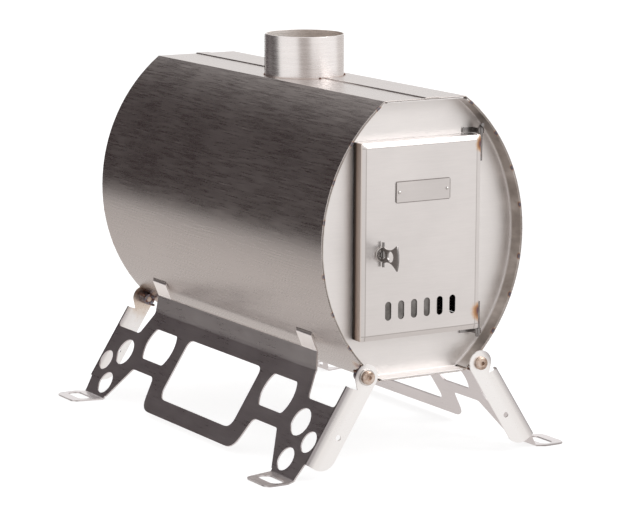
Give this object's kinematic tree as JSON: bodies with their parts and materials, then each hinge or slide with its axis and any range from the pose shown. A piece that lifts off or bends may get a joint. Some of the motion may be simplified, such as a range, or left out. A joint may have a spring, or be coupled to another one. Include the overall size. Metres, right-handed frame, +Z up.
{
  "type": "tent wood stove",
  "caption": "Folding sheet steel wood stove: oval barrel firebox with a flue collar, flat cooking top, side-hung door with air slide and turning latch, on folding bracket legs.",
  "frame": {"origin": "middle of the overall box at the height of the feet's undersides", "axes": "+Z up, the door faces -Y, +X to the right of someone facing the door; the barrel runs along Y"},
  "size_m": [0.346, 0.4864, 0.3996],
  "materials": {
    "shell_steel": "brushed, heat darkened",
    "panel_steel": "brushed",
    "door_steel": "brushed",
    "leg_steel": "satin",
    "collar_steel": "brushed",
    "fastener_steel": "satin, heat tinted",
    "scaled_steel": "heat scaled",
    "grate_steel": "rough, sooted"
  },
  "bodies": {
    "barrel": {"body_shell": "shell_steel", "front_panel": "panel_steel", "rear_panel": "panel_steel", "flue_collar": "collar_steel", "fire_grate": "grate_steel", "hinge_strap_upper": "panel_steel", "hinge_strap_lower": "panel_steel", "hinge_nut_rear_right": "scaled_steel", "hinge_nut_rear_left": "scaled_steel", "hinge_nut_front_left": "scaled_steel", "hinge_nut_front_right": "scaled_steel", "hinge_bolt_rear_right": "fastener_steel", "hinge_bolt_rear_left": "fastener_steel", "hinge_bolt_front_left": "fastener_steel", "hinge_bolt_front_right": "fastener_steel", "hinge_washer_rear_right": "fastener_steel", "hinge_washer_rear_left": "fastener_steel", "hinge_washer_front_left": "fastener_steel", "hinge_washer_front_right": "fastener_steel"},
    "door": {"door_pan": "door_steel", "door_heat_shield": "panel_steel", "slide_rail_upper": "panel_steel", "slide_rail_lower": "panel_steel", "door_plate": "panel_steel", "plate_rivet_left": "fastener_steel", "plate_rivet_right": "fastener_steel", "door_pin_upper": "fastener_steel", "door_pin_lower": "fastener_steel"},
    "latch": {"latch_wing": "fastener_steel", "latch_washer": "panel_steel", "latch_tongue": "fastener_steel", "latch_nut": "fastener_steel"},
    "air_slide": {"air_slide": "panel_steel"},
    "left_leg": {"leg_left": "leg_steel"},
    "right_leg": {"leg_right": "leg_steel"}
  },
  "joints": [
    {"name": "door_swing", "type": "hinge", "parent": "barrel", "child": "door", "pos_m": [0.0688, -0.2077, 0.22156], "axis": [0, 0, 1], "range_deg": [0, 130]},
    {"name": "latch_turn", "type": "hinge", "parent": "door", "child": "latch", "pos_m": [-0.0465, -0.2132, 0.21153], "axis": [0, 1, 0], "range_deg": [0, 90]},
    {"name": "air_slide_travel", "type": "slide", "parent": "door", "child": "air_slide", "axis": [1, 0, 0], "range_m": [0, 0.021]},
    {"name": "left_leg_fold", "type": "hinge", "parent": "barrel", "child": "left_leg", "pos_m": [-0.0649, 0.0098, 0.09503], "axis": [0, -1, 0], "range_deg": [0, 122.5]},
    {"name": "right_leg_fold", "type": "hinge", "parent": "barrel", "child": "right_leg", "pos_m": [0.0649, 0.0098, 0.09503], "axis": [0, 1, 0], "range_deg": [0, 110]}
  ]
}
